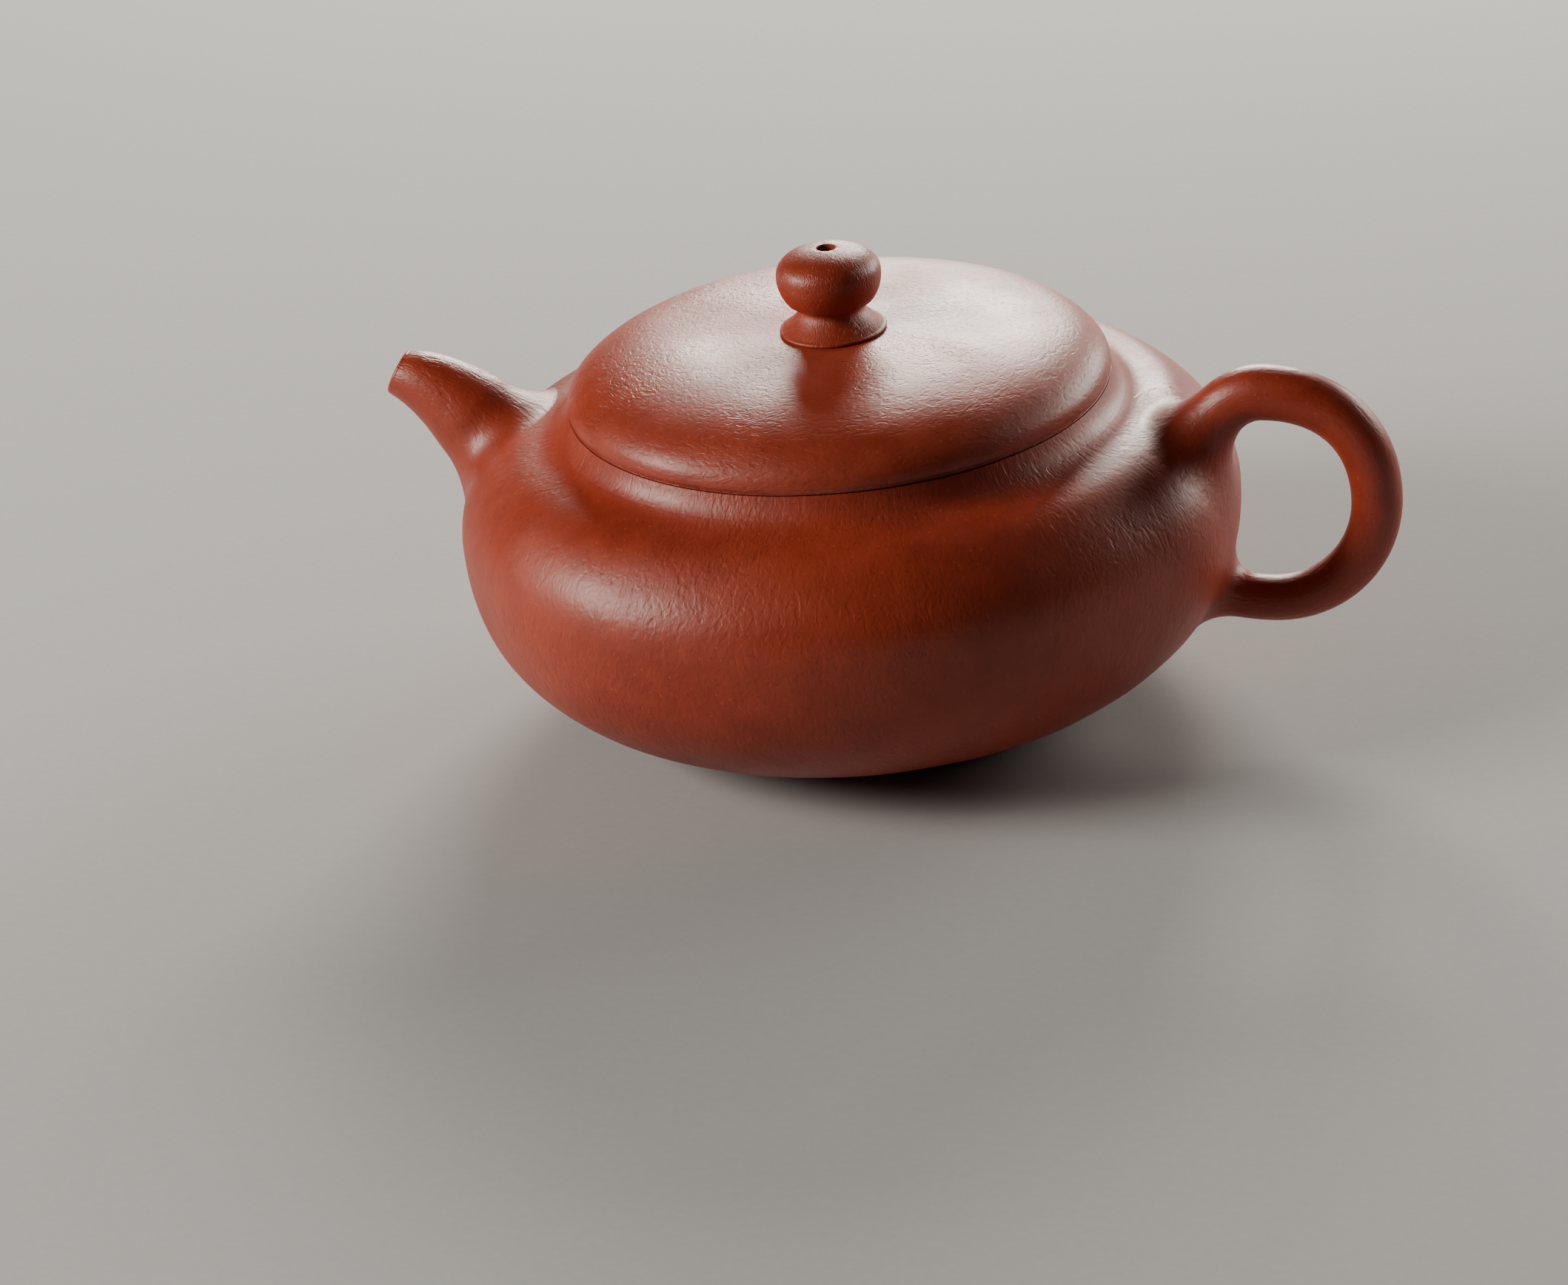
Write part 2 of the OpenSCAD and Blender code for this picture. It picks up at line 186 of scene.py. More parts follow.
# %% Neck
ring_h = seam_z - neck_z
lean_angle = math.radians(38)
lean = np.array([-math.sin(lean_angle), math.cos(lean_angle)])
ring_foot = np.array([mouth_r + mouth_spread, neck_z])
cove_dir = upper[-1] - upper[-2]
cove_dir /= np.linalg.norm(cove_dir)
cove = bezier([upper[-1], upper[-1] + 3 * cove_dir, ring_foot - 2.2 * lean, ring_foot], np.linspace(0, 1, 50))
ring = bezier([ring_foot, ring_foot + 0.3 * ring_h * lean, [mouth_r + 0.1, neck_z + 0.62 * ring_h],
               [mouth_r, seam_z]], np.linspace(0, 1, 30))


def eased(points, w, gap=0.1):
    """The same curve with points gap mm apart, each averaged with its neighbours by exp(-s^2 / 2w^2)."""
    p = even(points, gap)
    reach = int(3 * w / gap)
    weight = np.exp(-0.5 * (np.arange(-reach, reach + 1) * gap / w) ** 2)
    padded = np.concatenate([2 * p[0] - p[reach:0:-1], p, 2 * p[-1] - p[-2:-reach - 2:-1]])
    return np.stack([np.convolve(padded[:, k], weight / weight.sum(), "valid") for k in range(2)], -1)


neck_ease = 1.4
top = eased(np.concatenate([upper, cove[1:], ring[1:]]), neck_ease)
outline = np.concatenate([lower, top[1:]])
split_z = widest_z + up_b * math.sin(joint_t) ** (2 / up_n)
wall_end = np.searchsorted(top[:, 1], split_z)
ring_start = np.where(top[:, 1] < neck_z)[0][-1] + 1
print("outline points", len(outline), "neck starts at radius", round(cove_r, 1))

# %% [markdown]
# Nothing a hand has beaten and scraped is perfectly round. One slow wave,
# a sum of sines of the place in space, moves every skin by about a tenth of a
# millimetre. It reads only the place, so neighbouring pieces stay in step.

# %% Hand-made unevenness
heart_r = 20


def hand(p):
    """Height of the unevenness at points p (mm): a sum of sines of x, y and z."""
    x, y, z = p[..., 0], p[..., 1], p[..., 2]
    return (0.07 * np.sin(0.11 * x + 0.05 * z + 0.6) * np.cos(0.09 * y - 0.7)
            + 0.05 * np.sin(0.19 * y + 0.13 * z) * np.cos(0.16 * x + 1.1)
            + 0.02 * np.sin(0.43 * x + 0.31 * y + 0.37 * z))


def away(p):
    """Unit vectors away from a disc of radius heart_r at the widest height: the way the unevenness lifts."""
    r = np.hypot(p[..., 0], p[..., 1])
    keep = np.clip(r - heart_r, 0, None) / np.maximum(r, 1e-6)
    d = np.stack([p[..., 0] * keep, p[..., 1] * keep, p[..., 2] - widest_z], -1)
    return d / np.maximum(np.linalg.norm(d, axis=-1), 1e-6)[..., None]


# %% [markdown]
# Meshes are grids: a table of points, one row per step along the piece and one
# column per step around it, with a quad between every four neighbours. Each
# grid also keeps a "turned" coordinate: the place round the axis and the length
# along the profile, so that tooling marks can later run round the pot.

# %% Grid meshes
marks_r = 35


def make_piece(name, points, nodes, body, close=True, marks=None, smooth_angle=35):
    """Object from a grid of points (rows, columns, xyz) in mm. Columns wrap round. Rows wrap too when close
    is set; otherwise the first and last row are poles, and each one's points are merged into one.

    marks is a grid of vectors for the point attribute "turned"; without it, they are (R cos a, R sin a, s)
    for R = marks_r, the angle a round the axis and the length s along the profile."""
    rows, cols = points.shape[:2]
    index = np.arange(rows * cols).reshape(rows, cols)
    nxt = np.roll(index, -1, 1)
    if close:
        below, below_next = np.roll(index, -1, 0), np.roll(nxt, -1, 0)
        quads = np.stack([index, nxt, below_next, below], -1).reshape(-1, 4)
    else:
        quads = np.stack([index[:-1], nxt[:-1], nxt[1:], index[1:]], -1).reshape(-1, 4)
    mesh = bpy.data.meshes.new(name)
    mesh.from_pydata((points.reshape(-1, 3) * MM).tolist(), [], quads.tolist())
    if marks is None:
        angle = np.arctan2(points[..., 1], points[..., 0])
        run = np.r_[0, np.cumsum(np.linalg.norm(np.diff(points[:, 0], axis=0), axis=1))]
        marks = np.stack([marks_r * np.cos(angle), marks_r * np.sin(angle),
                          np.broadcast_to(run[:, None], angle.shape)], -1)
    turned = mesh.attributes.new("turned", "FLOAT_VECTOR", "POINT")
    turned.data.foreach_set("vector", (marks * MM).astype(np.float32).ravel())
    edit = bmesh.new()
    edit.from_mesh(mesh)
    if not close:
        bmesh.ops.remove_doubles(edit, verts=edit.verts, dist=1e-7)
    bmesh.ops.recalc_face_normals(edit, faces=edit.faces)
    edit.to_mesh(mesh)
    edit.free()
    mesh.shade_smooth()
    mesh.set_sharp_from_angle(angle=math.radians(smooth_angle))
    piece = bpy.data.objects.new(name, mesh)
    bpy.context.scene.collection.objects.link(piece)
    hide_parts(*nodes)
    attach(piece, body)
    print(f"{name}: {len(mesh.vertices)} points, {len(mesh.polygons)} faces")
    return piece


def revolve(name, profile, nodes, body, columns=360, uneven=1.0, close=True):
    """Closed solid of revolution: (r cos a, r sin a, z) for every profile point and angle a,
    each point then moved away from the pot's heart by the hand-made unevenness."""
    angle = np.linspace(0, 2 * math.pi, columns, endpoint=False)
    profile = np.asarray(profile, float)
    points = np.stack([profile[:, :1] * np.cos(angle), profile[:, :1] * np.sin(angle),
                       np.broadcast_to(profile[:, 1:], (len(profile), columns))], -1)
    points = points + (uneven * hand(points))[..., None] * away(points)
    return make_piece(name, points, nodes, body, close=close)


# %% [markdown]
# The pot's own pieces, in the order a potter makes them. Each is a closed
# outline carried round the axis: the outside curve, then back along the inside
# at the wall's thickness. Outside edges that meet are left unrounded, because
# the potter scrapes those joints away; free edges are softened.

# %% Runs of profile points
grain = 0.45  # length of a face along the outside


def between(a, b, step=0.7):
    """Points of the straight line from a to b, ends left out, about step apart."""
    n = max(int(np.linalg.norm(np.subtract(b, a)) / step), 1)
    return np.linspace(a, b, n + 1)[1:-1]


def loop(*runs):
    """Closed outline from several runs of points, with the gaps between them filled in."""
    out = []
    for i, run in enumerate(runs):
        out += list(run)
        out += list(between(run[-1], runs[(i + 1) % len(runs)][0]))
    return np.array(out)


# %% Wall, shoulder and mouth ring
inner_r = body_r - wall
low_in_b = (widest_z - floor_z) / left_at(foot_r / inner_r, low_n)
low_in_end = math.acos((foot_r / inner_r) ** (low_n / 2))
up_in_b = (neck_z - widest_z - 0.8 * wall) / left_at(bore_r / inner_r, in_n)
in_bore_t = math.acos((bore_r / inner_r) ** (in_n / 2))
wall_out = np.concatenate([lower, top[1:wall_end + 1]])
wall_in = np.concatenate([sup(np.linspace(low_in_end, 0, 60), inner_r, low_in_b, low_n) * [1, -1],
                          sup(np.linspace(0, joint_t, 30)[1:], inner_r, up_in_b, in_n)]) + [0, widest_z]
slab_out = top[wall_end:ring_start + 1]
slab_in = sup(np.linspace(joint_t, in_bore_t, 30), inner_r, up_in_b, in_n) + [0, widest_z]
revolve("pot_wall", loop(even(wall_out, grain), even(wall_in, 1.0)[::-1]), ["body_wall"], "pot")
bore_edge = np.array([[bore_r, top[ring_start, 1]], slab_in[-1]])
revolve("pot_shoulder", loop(even(slab_out, grain), bore_edge, even(slab_in, 1.0)[::-1][1:]),
        ["top_slab"], "pot")
edge = 0.1  # softening of the seam's two edges
ring_top = rounded([[mouth_r, seam_z, edge], [bore_r, seam_z, 0.3], [bore_r, top[ring_start, 1], 0]])[:-1]
ring_low = top[ring_start:][top[ring_start:, 1] < seam_z - edge]
revolve("pot_mouth_ring", loop(even(ring_low, 0.3), ring_top, [[bore_r, top[ring_start, 1]]]),
        ["mouth_ring"], "pot")

# %% [markdown]
# Under the pot a disc closes the wall, and a low ring lifts it off the table.
# Both are plain and hardly show, so straight lines with small rounded corners
# are enough. The disc's profile starts and ends on the axis, where the points
# of all columns are merged, so it has no hole in its middle.

# %% Base disc and foot ring
disc = [[0, foot_h], *between([0, foot_h], [foot_r, foot_h]), [foot_r, foot_h], [foot_r, floor_z],
        *between([foot_r, floor_z], [0, floor_z]), [0, floor_z]]
revolve("pot_base_disc", disc, ["base_disc"], "pot", columns=180, uneven=0, close=False)
foot_in = 23.6
foot = rounded([[foot_in, 0, 0.35], [foot_r - 0.3, 0, 0.45], [foot_r, foot_h, 0], [foot_in, foot_h, 0]])
revolve("pot_foot_ring", foot, ["foot_ring"], "pot", columns=180, uneven=0)

# %% [markdown]
# The lid is pressed flush with the mouth ring: one sweep of the scraper runs
# over both, so the lid's rim carries the same curve on. Its crown is a very
# flat dome. The two edges of the seam are only just softened.

# %% Lid
lid_edge = 1.2  # height of the rim's upright part
lid_n, lid_m = 5.0, 1.6
dome_t = 2.4
vent_r = 1.2
flange_t = 2.3
rim = np.array([[mouth_r + 0.03, seam_z + edge + 0.02], [mouth_r + rim_bow, seam_z + 0.5 * lid_edge]])
dome = sup(np.linspace(0, math.pi / 2, 160)[:-1], mouth_r, crown_z - seam_z - lid_edge, lid_n, lid_m)
dome += [0, seam_z + lid_edge]
lid_out = even(np.concatenate([rim, dome]), 0.4)
plate_in = flange_r - flange_t - 0.4
split = np.searchsorted(lid_out[:, 1], plate_top)
joint_r = np.interp(plate_top, lid_out[:split + 1, 1], lid_out[:split + 1, 0])
plate_out = np.concatenate([lid_out[:split], [[joint_r, plate_top]]])
dome_out = np.concatenate([plate_out[-1:], lid_out[split:]])
dome_out = dome_out[dome_out[:, 0] > vent_r + 0.3]
under = sup(np.linspace(0, math.pi / 2, 60)[:-1], plate_in, crown_z - dome_t - plate_top, 3, 1.8)
under += [0, plate_top]
under = under[under[:, 0] > vent_r + 0.4]
plate_low = rounded([[plate_in, seam_z, 0.2], [mouth_r, seam_z, edge],
                     [mouth_r + 0.02, seam_z + 0.4, 0]])[:-1]
revolve("lid_rim_plate", loop(plate_out[1:], [[plate_in, plate_top]], plate_low),
        ["lid_plate"], "lid")
revolve("lid_crown", loop(dome_out, [[vent_r, crown_z - 0.25], [vent_r, crown_z - dome_t + 0.25]],
                          even(under, 0.8)[::-1]), ["lid_dome"], "lid")
flange_low = low("lid_flange")[2]
flange_in = flange_r - flange_t
flange = rounded([[flange_in, seam_z, 0], [flange_in, flange_low, 0.6], [flange_r, flange_low, 0.9],
                  [flange_r, seam_z, 0]])
revolve("lid_seat_ring", loop(flange), ["lid_flange"], "seat", columns=240)

# %% [markdown]
# The knob is a ball of clay rolled a little flat, set on a thin flared collar.
# The ball is an upper half superellipse and a slightly taller lower half, which
# a hollow Bezier curve eases upright into the neck. The collar widens downwards
# as depth^1.55, to a small bead at its edge.

# %% Knob and collar
neck_r = 4.1
neck_flare = 0.1  # how much wider the neck already is where ball and collar meet
ball_n = 2.15
knob_mid = collar_z + 0.57 * (knob_top - collar_z)
knob_low = 1.035 * (knob_mid - collar_z) / left_at(neck_r / knob_r, ball_n)
knob_end = math.asin(((knob_mid - collar_z) / knob_low) ** (ball_n / 2))
ease_from = 0.68 * knob_end


def under_ball(t):
    """Points of the ball's lower half, for t in radians down from its widest ring."""
    return sup(np.asarray(t), knob_r, knob_low, ball_n) * [1, -1] + [0, knob_mid]


ease_top, ease_next = under_ball([ease_from, ease_from + 0.01])
inward = (ease_next - ease_top) / np.linalg.norm(ease_next - ease_top)
reach = 0.4 * np.linalg.norm(ease_top - [neck_r, collar_z])
waist = bezier([[neck_r + neck_flare, collar_z], [neck_r - 0.05, collar_z + reach],
                ease_top + reach * inward, ease_top], np.linspace(0, 1, 20))
low_half = under_ball(np.linspace(knob_end, 0, 40))
top_half = sup(np.linspace(0, math.pi / 2, 50)[1:-1], knob_r, knob_top - knob_mid, ball_n) + [0, knob_mid]
ball = np.concatenate([waist, low_half[low_half[:, 1] > ease_top[1] + 0.01], top_half])
ball = ball[ball[:, 0] > vent_r + 0.25]
vent = [[vent_r + 0.08, knob_top - 0.12], [vent_r, knob_top - 0.35], [vent_r, collar_z]]
revolve("knob_ball", loop(even(ball, 0.22), vent), ["knob"], "lid", columns=144, uneven=0.8)

bead = 0.25
flare_top = [neck_r + neck_flare, collar_z]
flare_end = [collar_r - 1.1 * bead, crown_z + 2.0 * bead]
down = np.linspace(0, 1, 40)
flare = np.stack([flare_top[0] + (flare_end[0] - flare_top[0]) * down**1.55,
                  flare_top[1] - (flare_top[1] - flare_end[1]) * down], -1)
round_it = np.radians(np.linspace(65, -75, 12))
rim_bead = np.stack([collar_r - bead + bead * np.cos(round_it), crown_z + bead + bead * np.sin(round_it)], -1)
collar = loop(even(flare, 0.2), rim_bead, [[collar_r - bead, crown_z - 0.02]],
              [[vent_r, crown_z - 0.02], [vent_r, collar_z]])
revolve("knob_collar_ring", collar, ["knob_collar"], "lid", columns=144, uneven=0.8)

# %% [markdown]
# Spout and handle are rolls of clay pressed onto the belly, and the potter
# smears the root out until it flows into the wall. That flow is a smooth
# union: with d1 the distance to the pot and d2 the distance to the roll, the
# skin lies where smooth_min(d1, d2) = 0. Far from the joint it is one or the
# other; near it, both give way and leave a hollow fillet.

# %% Distances and the smooth union
chunk = 4000  # points measured at a time, to spare memory


def soft(x):
    """x from 0 to 1 with soft ends: 3x^2 - 2x^3, for x held between 0 and 1."""
    x = np.clip(x, 0, 1)
    return x * x * (3 - 2 * x)


def pot_distance(p):
    """Signed distance from points to the pot's outside: nearest segment of the outline, in (r, z)."""
    line = np.concatenate([[[0, foot_h]], outline])
    a, ab = line[:-1], np.diff(line, axis=0)
    q = np.stack([np.hypot(p[:, 0], p[:, 1]), p[:, 2]], -1)
    out = np.empty(len(q))
    long = (ab**2).sum(1)
    for start in range(0, len(q), chunk):
        part = q[start:start + chunk, None]
        t = np.clip(((part - a) * ab).sum(2) / long, 0, 1)
        off = part - (a + t[..., None] * ab)
        d = (off**2).sum(2)
        k = d.argmin(1)
        o = off[np.arange(len(k)), k]
        side = ab[k, 0] * o[:, 1] - ab[k, 1] * o[:, 0]
        out[start:start + chunk] = np.sqrt(d.min(1)) * -np.sign(side + 1e-12)
    return out - hand(p)


def roll_distance(p, centres, radii):
    """Distance from points to a roll: nearest of the balls of given radii along its centre line."""
    out = np.empty(len(p))
    for start in range(0, len(p), chunk):
        part = p[start:start + chunk, None]
        out[start:start + chunk] = (np.sqrt(((part - centres) ** 2).sum(2)) - radii).min(1)
    return out


def smooth_min(d1, d2, k):
    """Least of two distances, rounded off where they are within k of each other."""
    h = np.clip(0.5 + 0.5 * (d2 - d1) / k, 0, 1)
    return d2 * (1 - h) + d1 * h - k * h * (1 - h)


def slope(field, p, step=0.05):
    """Value and gradient of a field at points p, the gradient by differences."""
    here = field(p)
    grad = np.stack([(field(p + step * np.eye(3)[k]) - here) / step for k in range(3)], -1)
    return here, grad


def settle(field, p, rounds=5):
    """Points moved onto the surface field = 0 by Newton's rule, p - f g / |g|^2."""
    for _ in range(rounds):
        f, g = slope(field, p)
        p = p - (f / np.maximum((g**2).sum(1), 0.2))[:, None] * g
    return p


def ring_dirs(direction, count):
    """Unit vectors square to each direction: cos(a) * Y + sin(a) * (direction x Y)."""
    d = direction / np.linalg.norm(direction, axis=1)[:, None]
    side = np.array([0.0, 1.0, 0.0])
    up = np.cross(d, side)
    a = np.linspace(0, 2 * math.pi, count, endpoint=False)
    return np.cos(a)[None, :, None] * side + np.sin(a)[None, :, None] * up[:, None]


def at_rows(table, where):
    """Values of a (rows, columns, xyz) table at fractional row numbers given per output row and column."""
    k = np.clip(np.floor(where).astype(int), 0, len(table) - 2)
    f = (where - k)[..., None]
    cols = np.arange(table.shape[1])
    return table[k, cols] * (1 - f) + table[k + 1, cols] * f


def near_neck(p):
    """Share of a hollow's width that is left: 1 out on the belly, falling to 0.4 at the neck."""
    return 0.4 + 0.6 * soft((np.hypot(p[:, 0], p[:, 1]) - mouth_r - 2.4) / 6)


def skirt(start, roll, width, steps=22):
    """Grid of rows that walk from the root line out over the pot until the smooth union of that width has
    run out, slowing down close to the neck."""
    rows, p = [], start
    length = 1.4 * width(start)[:, None] / steps
    for _ in range(steps):
        _, g1 = slope(pot_distance, p)
        _, g2 = slope(roll, p)
        out = g2 - (g2 * g1).sum(1)[:, None] * g1
        out /= np.linalg.norm(out, axis=1)[:, None] + 1e-9
        room = np.clip((np.hypot(p[:, 0], p[:, 1]) - mouth_r - 1.6) / 4, 0.05, 1)[:, None]
        p = settle(pot_distance, p + length * room * out, 2)
        rows.append(p)
    return np.array(rows)


def smeared(grid, roll, width, far, fade=4):
    """Grid moved onto the smooth union of pot and roll, fully up to far - fade mm from the pot and not at
    all from far on."""
    def union(p):
        return smooth_min(pot_distance(p), roll(p), width(p))

    flat = grid.reshape(-1, 3)
    share = soft((far - pot_distance(flat)) / fade)[:, None]
    return (flat + (settle(union, flat) - flat) * share).reshape(grid.shape)


def tuck(row):
    """Row of points pressed 0.05 mm into the pot, so that the edge of a hollow leaves no gap."""
    _, g = slope(pot_distance, row)
    return row - 0.05 * g


def roll_marks(points, radius):
    """Turned coordinate of a roll: (radius cos a, radius sin a, length along it) for column angle a."""
    a = np.linspace(0, 2 * math.pi, points.shape[1], endpoint=False)
    run = np.r_[0, np.cumsum(np.linalg.norm(np.diff(points[:, 0], axis=0), axis=1))]
    return np.stack([np.broadcast_to(radius * np.cos(a), points.shape[:2]),
                     np.broadcast_to(radius * np.sin(a), points.shape[:2]),
                     np.broadcast_to(run[:, None], points.shape[:2])], -1)


# %% [markdown]
# The spout is a taper bent once, from a wide root to an outlet barely six
# millimetres across, whose face is cut at a slant so the last drop falls
# clean. The grid runs from under the belly's skin, out over the fillet, along
# the outside to the lip, over it, and back down the passage.

# %% Spout's line and width
spout_reach, spout_tip_z = 59.2, 42.5
root_in, root_up = 6, 3.3  # how deep and how high above the widest ring the roll starts
spout_tip = np.array([-spout_reach, 0, spout_tip_z])
spout_root = np.array([-(body_r - root_in), 0, widest_z + root_up])
spout_line = [spout_root, spout_root + [-5.5, 0, 7.5], spout_tip - [-4.7, 0, 1.3], spout_tip]
cut = math.radians(28)
face_dir = np.array([-math.cos(cut), 0, math.sin(cut)])
t = np.linspace(0, 1, 260)
spout_c = bezier(spout_line, t)
spout_d = np.gradient(spout_c, axis=0)
spout_d /= np.linalg.norm(spout_d, axis=1)[:, None]
tilt = np.clip((t - 0.7) / 0.3, 0, 1)[:, None]
spout_d = spout_d * (1 - tilt) + face_dir * tilt
tip_r, mid_r, root_r = 3.1, 5.3, 7.4
straight_r = tip_r + 2 * (mid_r - tip_r)
spout_rad = tip_r + (straight_r - tip_r) * (1 - t) + (root_r - straight_r) * (1 - t) ** 8
columns = 160
spout_tube = spout_c[:, None] + spout_rad[:, None, None] * ring_dirs(spout_d, columns)
spout_blend = 4.4


def spout_distance(p):
    """Distance to the spout's roll."""
    return roll_distance(p, spout_c[::3], spout_rad[::3])


def spout_width(p):
    """Width of the hollow round the spout."""
    return spout_blend * near_neck(p)


# %% Spout's outside, lip and passage
outside = pot_distance(spout_tube.reshape(-1, 3)).reshape(spout_tube.shape[:2]) > 0
start_row = outside.argmax(0).astype(float)
share = np.linspace(0, 1, 110)[:, None] ** 0.9
tube = at_rows(spout_tube, start_row + share * (len(t) - 1.001 - start_row))
apron = skirt(tube[0], spout_distance, spout_width)
outer = smeared(np.concatenate([apron[::-1], tube]), spout_distance, spout_width, far=9)
outer[0] = tuck(outer[0])
# lip: half a small ring over the edge
lip_r = 0.42
dirs_tip = ring_dirs(face_dir[None], columns)[0]
lip_rows = [spout_tip + (tip_r - lip_r + lip_r * math.cos(a)) * dirs_tip + lip_r * math.sin(a) * face_dir
            for a in np.linspace(0, math.pi, 12)[1:]]
# passage: the same line back to the wall, thinner by the spout's wall, which thickens inwards
spout_wall, wall_gain = 2 * lip_r, 1.2
inner_rows = []
for b in np.linspace(1, 0.12, 40)[1:]:
    k = b * (len(t) - 1)
    i, f = int(k), k - int(k)
    after = min(i + 1, len(t) - 1)
    c = spout_c[i] * (1 - f) + spout_c[after] * f
    d = (spout_d[i] * (1 - f) + spout_d[after] * f)[None]
    rad = np.interp(k, np.arange(len(t)), spout_rad) - spout_wall - wall_gain * (1 - b)
    inner_rows.append(c + rad * ring_dirs(d, columns)[0])
spout_points = np.concatenate([outer, lip_rows, inner_rows])
make_piece("pot_spout", spout_points, ["spout"], "pot", marks=roll_marks(spout_points, 6))

# %% [markdown]
# The handle is one tapering roll bent into a round ear. Its centre line is
# four Bezier curves: off the shoulder, over the top, down the outside and back
# to the belly. Both ends get the same fillet as the spout.

# %% Handle's line and width
ear_reach = high("handle")[0]
top_z, low_z = high("handle")[2], low("handle")[2]
arm_r, thin_r = 3.5, 2.9
ear_top = np.array([(body_r + ear_reach) / 2 - 6.3, 0, top_z - arm_r])
ear_out = np.array([ear_reach - (arm_r + thin_r) / 2, 0, (top_z + low_z) / 2])
ear_low = np.array([ear_top[0], 0, low_z + thin_r])
round_k, full_k = 0.5523, 0.62  # Bezier reach of a quarter circle, and of a fuller bend
curves = [
    [[body_r - 6.5, 0, widest_z + 6], [body_r - 3, 0, widest_z + 10.5],
     [ear_top[0] - 4.6, 0, ear_top[2]], ear_top],
    [ear_top, ear_top + [full_k * (ear_out[0] - ear_top[0]), 0, 0],
     ear_out + [0, 0, full_k * (ear_top[2] - ear_out[2])], ear_out],
    [ear_out, ear_out - [0, 0, round_k * (ear_out[2] - ear_low[2])],
     ear_low + [round_k * (ear_out[0] - ear_low[0]), 0, 0], ear_low],
    [ear_low, ear_low - [3, 0, 0], [body_r - 2, 0, ear_low[2] + 0.5], [body_r - 6, 0, ear_low[2] + 2]],
]
step = np.linspace(0, 1, 120)
ear = np.concatenate([bezier(c, step)[:-1] for c in curves] + [[curves[-1][-1]]])
along = np.linspace(0, len(curves), len(ear))
ear_d = np.gradient(ear, axis=0)
ear_rad = arm_r + (thin_r - arm_r) * np.clip((along - 1) / 2, 0, 1)
columns = 112
ear_tube = ear[:, None] + ear_rad[:, None, None] * ring_dirs(ear_d, columns)
ear_blend, ear_blend_low = 7.0, 4.2


def ear_distance(p):
    """Distance to the handle's roll."""
    return roll_distance(p, ear[::3], ear_rad[::3])


def ear_width(p):
    """Width of the hollow round the handle's ends: wide at the upper one, tight at the lower."""
    upper_end = np.clip((p[:, 2] - 20) / 8, 0, 1)
    return (ear_blend_low + (ear_blend - ear_blend_low) * upper_end) * near_neck(p)


# %% Handle's skin, with both ends closed inside the wall
outside = pot_distance(ear_tube.reshape(-1, 3)).reshape(ear_tube.shape[:2]) > 0
first = outside.argmax(0).astype(float)
last = len(ear) - 1.001 - outside[::-1].argmax(0)
tube = at_rows(ear_tube, first + np.linspace(0, 1, 260)[:, None] * (last - first))
up_rows = skirt(tube[0], ear_distance, ear_width)[::-1]
down_rows = skirt(tube[-1], ear_distance, ear_width)
ear_rows = smeared(np.concatenate([up_rows, tube, down_rows]), ear_distance, ear_width, far=8)
caps = []
for end in (0, -1):
    ear_rows[end] = tuck(ear_rows[end])
    mid = ear_rows[end].mean(0)
    depth, g = slope(pot_distance, mid[None])
    mid = mid - (depth + 1.2) * g[0]
    caps.append(np.array([mid + (ear_rows[end] - mid) * k for k in (0, 0.5)]))
handle_points = np.concatenate([caps[0], ear_rows, caps[1][::-1]])
make_piece("pot_handle", handle_points, ["handle"], "pot", close=False,
           marks=roll_marks(handle_points, 4))

# %% [markdown]
# The clay is unglazed: a red, iron-rich stoneware with fine sand in it. The
# potter burnishes the damp skin with a horn scraper, so it fires to a satin
# with a very fine grain, short wavy scraper marks, and here and there a pit
# where a grain of sand was pulled out. Each of those effects is a node group,
# so every clay in the pot can use it in its own amount.

# %% Node helpers


def new_group(name, takes, gives):
    """Empty node group. takes: (socket, type, start value); gives: (socket, type)."""
    tree = bpy.data.node_groups.new(name, "ShaderNodeTree")
    for label, kind, value in takes:
        socket = tree.interface.new_socket(name=label, in_out="INPUT", socket_type=kind)
        if value is not None:
            socket.default_value = value
    for label, kind in gives:
        tree.interface.new_socket(name=label, in_out="OUTPUT", socket_type=kind)
    return tree, tree.nodes.new("NodeGroupInput").outputs, tree.nodes.new("NodeGroupOutput").inputs


def add(tree, kind, inputs=None, **settings):
    """Node of a kind with settings; inputs maps a socket to a value or to the socket that feeds it."""
    node = tree.nodes.new("ShaderNode" + kind)
    for key, value in settings.items():
        setattr(node, key, value)
    for key, value in (inputs or {}).items():
        if isinstance(value, bpy.types.NodeSocket):
            tree.links.new(value, node.inputs[key])
        else:
            node.inputs[key].default_value = value
    return node


def times(tree, a, b):
    """Socket that gives a * b."""
    return add(tree, "Math", {0: a, 1: b}, operation="MULTIPLY").outputs[0]


def plus(tree, a, b):
    """Socket that gives a + b."""
    return add(tree, "Math", {0: a, 1: b}, operation="ADD").outputs[0]


def span(tree, value, low_in, high_in, low_out=0.0, high_out=1.0, smooth=True):
    """Socket that maps (low_in, high_in) onto (low_out, high_out), held at both ends.
    With smooth set the way between is 3x^2 - 2x^3, otherwise straight."""
    kind = "SMOOTHSTEP" if smooth else "LINEAR"
    return add(tree, "MapRange", {"Value": value, "From Min": low_in, "From Max": high_in, "To Min": low_out,
                                  "To Max": high_out}, interpolation_type=kind).outputs["Result"]


# %% [markdown]
# Grain: sand and clay particles under half a millimetre across. One noise
# gives the relief; a Voronoi pattern with a random number per cell picks out
# the few pale and dark grains that can be seen singly.

